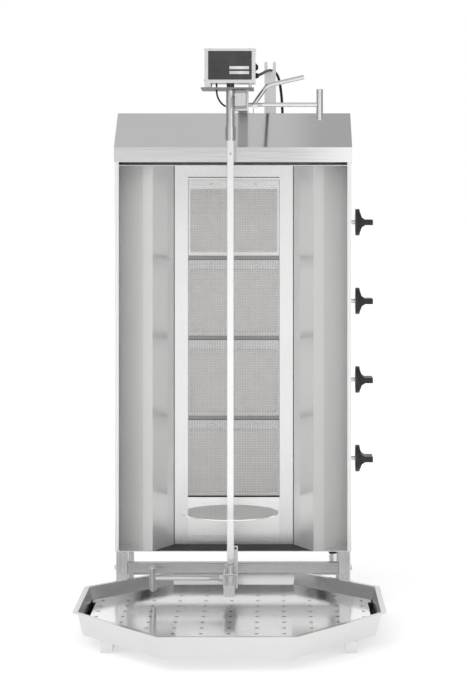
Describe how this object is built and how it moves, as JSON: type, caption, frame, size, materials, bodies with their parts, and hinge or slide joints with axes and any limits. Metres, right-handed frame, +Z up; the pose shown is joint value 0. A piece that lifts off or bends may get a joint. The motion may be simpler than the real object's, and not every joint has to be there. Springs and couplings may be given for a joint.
{
  "type": "gas doner kebab grill",
  "caption": "Upright gas grill for meat that turns on a motor-driven skewer before stacked gauze burners between angled heat wings, with side taps and a drip tray that slides out",
  "frame": {"origin": "under the middle of the whole grill, on the surface it stands on", "axes": "+X to the grill's right as seen from the front, +Y to its rear, +Z up"},
  "size_m": [0.66, 0.898, 1.2745],
  "materials": {
    "brushed_steel": "brushed stainless sheet and tube",
    "bright_steel": "fine satin stainless sheet",
    "turned_steel": "turned and polished stainless bar",
    "burner_steel": "pressed heat-resisting steel",
    "wire_gauze": "woven heat-resisting wire",
    "ceramic": "grey perforated ceramic",
    "brass": "machined brass",
    "copper": "drawn copper pipe",
    "black_plastic": "black heat-proof plastic",
    "label_plate": "dark satin plate, blank",
    "cast_motor": "cast gearbox and motor",
    "cable_rubber": "black rubber sheath"
  },
  "bodies": {
    "root": {"base_runners": "brushed_steel", "legs": "brushed_steel", "crossbars": "brushed_steel", "frame_bolts": "brushed_steel", "cabinet_floor": "brushed_steel", "side_panel_left": "brushed_steel", "side_panel_right": "brushed_steel", "back_panel": "brushed_steel", "hood": "bright_steel", "inner_ceiling": "brushed_steel", "wing_left": "bright_steel", "wing_right": "bright_steel", "burner_surround": "bright_steel", "lower_reflector": "bright_steel", "burner_ceramics": "ceramic", "gas_manifold": "brass", "gas_pipes": "copper", "valve_bodies": "brass", "gas_inlet": "brass", "switch_frame": "black_plastic", "cable_fork": "brushed_steel", "cable_glands": "black_plastic", "upper_arm": "brushed_steel", "lower_arm": "brushed_steel", "motor_cable": "cable_rubber", "burner_housing_1": "burner_steel", "burner_housing_2": "burner_steel", "burner_housing_3": "burner_steel", "burner_housing_4": "burner_steel", "burner_gauze_1": "wire_gauze", "burner_gauze_2": "wire_gauze", "burner_gauze_3": "wire_gauze", "burner_gauze_4": "wire_gauze"},
    "upper_carriage": {"carriage_sleeve": "brushed_steel", "motor_plate": "brushed_steel", "motor_housing": "bright_steel", "motor_lid": "bright_steel", "motor_label": "label_plate", "gear_motor": "cast_motor", "motor_lead": "cable_rubber"},
    "upper_clamp": {"upper_clamp_screw": "turned_steel"},
    "lock_lever": {"lock_lever": "turned_steel"},
    "drive": {"drive_tube": "turned_steel", "drive_collar": "turned_steel"},
    "skewer": {"skewer": "turned_steel"},
    "meat_disk": {"meat_disk": "brushed_steel"},
    "lower_carriage": {"lower_sleeve": "brushed_steel", "bearing_cup": "turned_steel"},
    "lower_clamp": {"lower_clamp_screw": "turned_steel"},
    "tray": {"tray_pan": "brushed_steel"},
    "tray_insert": {"tray_insert": "brushed_steel"},
    "switch_rocker": {"switch_rocker": "black_plastic"},
    "tap_1": {"valve_stem_1": "turned_steel"},
    "knob_1": {"knob_1": "black_plastic"},
    "tap_2": {"valve_stem_2": "turned_steel"},
    "knob_2": {"knob_2": "black_plastic"},
    "tap_3": {"valve_stem_3": "turned_steel"},
    "knob_3": {"knob_3": "black_plastic"},
    "tap_4": {"valve_stem_4": "turned_steel"},
    "knob_4": {"knob_4": "black_plastic"}
  },
  "joints": [
    {"name": "carriage_slide", "type": "slide", "parent": "root", "child": "upper_carriage", "axis": [0, 1, 0], "range_m": [-0.105, 0.055]},
    {"name": "lower_carriage_slide", "type": "slide", "parent": "root", "child": "lower_carriage", "axis": [0, 1, 0], "range_m": [-0.105, 0.055]},
    {"name": "upper_clamp_turn", "type": "hinge", "parent": "upper_carriage", "child": "upper_clamp", "pos_m": [0.1, 0.053, 1.152], "axis": [1, 0, 0], "range_deg": [0, 360]},
    {"name": "lock_lever_turn", "type": "hinge", "parent": "upper_carriage", "child": "lock_lever", "pos_m": [0.0515, 0.053, 1.152], "axis": [1, 0, 0], "range_deg": [-60, 60]},
    {"name": "skewer_spin", "type": "hinge", "parent": "upper_carriage", "child": "drive", "pos_m": [-0.003, 0.023, 1.1], "axis": [0, 0, 1], "continuous": true},
    {"name": "skewer_lift", "type": "slide", "parent": "drive", "child": "skewer", "axis": [0, 0, 1], "range_m": [0, 0.018]},
    {"name": "disk_slide", "type": "slide", "parent": "skewer", "child": "meat_disk", "axis": [0, 0, 1], "range_m": [0, 0.6]},
    {"name": "lower_clamp_turn", "type": "hinge", "parent": "lower_carriage", "child": "lower_clamp", "pos_m": [-0.1, 0.036, 0.098], "axis": [1, 0, 0], "range_deg": [0, 360]},
    {"name": "tray_slide", "type": "slide", "parent": "root", "child": "tray", "axis": [0, 1, 0], "range_m": [-0.13, 0]},
    {"name": "insert_lift", "type": "slide", "parent": "tray", "child": "tray_insert", "axis": [0, 0, 1], "range_m": [0, 0.015]},
    {"name": "switch_rock", "type": "hinge", "parent": "root", "child": "switch_rocker", "pos_m": [0.269, 0.193, 1.033], "axis": [0, 1, 0], "range_deg": [-14, 0]},
    {"name": "tap_push_1", "type": "slide", "parent": "root", "child": "tap_1", "axis": [-1, 0, 0], "range_m": [0, 0.003], "stiffness_N_per_m": 3000},
    {"name": "knob_turn_1", "type": "hinge", "parent": "tap_1", "child": "knob_1", "pos_m": [0.3, 0.321, 0.885], "axis": [1, 0, 0], "range_deg": [0, 180]},
    {"name": "tap_push_2", "type": "slide", "parent": "root", "child": "tap_2", "axis": [-1, 0, 0], "range_m": [0, 0.003], "stiffness_N_per_m": 3000},
    {"name": "knob_turn_2", "type": "hinge", "parent": "tap_2", "child": "knob_2", "pos_m": [0.3, 0.321, 0.699], "axis": [1, 0, 0], "range_deg": [0, 180]},
    {"name": "tap_push_3", "type": "slide", "parent": "root", "child": "tap_3", "axis": [-1, 0, 0], "range_m": [0, 0.003], "stiffness_N_per_m": 3000},
    {"name": "knob_turn_3", "type": "hinge", "parent": "tap_3", "child": "knob_3", "pos_m": [0.3, 0.321, 0.513], "axis": [1, 0, 0], "range_deg": [0, 180]},
    {"name": "tap_push_4", "type": "slide", "parent": "root", "child": "tap_4", "axis": [-1, 0, 0], "range_m": [0, 0.003], "stiffness_N_per_m": 3000},
    {"name": "knob_turn_4", "type": "hinge", "parent": "tap_4", "child": "knob_4", "pos_m": [0.3, 0.321, 0.327], "axis": [1, 0, 0], "range_deg": [0, 180]}
  ],
  "couplings": [
    {"joint": "lower_carriage_slide", "follows": "carriage_slide", "ratio": 1}
  ]
}
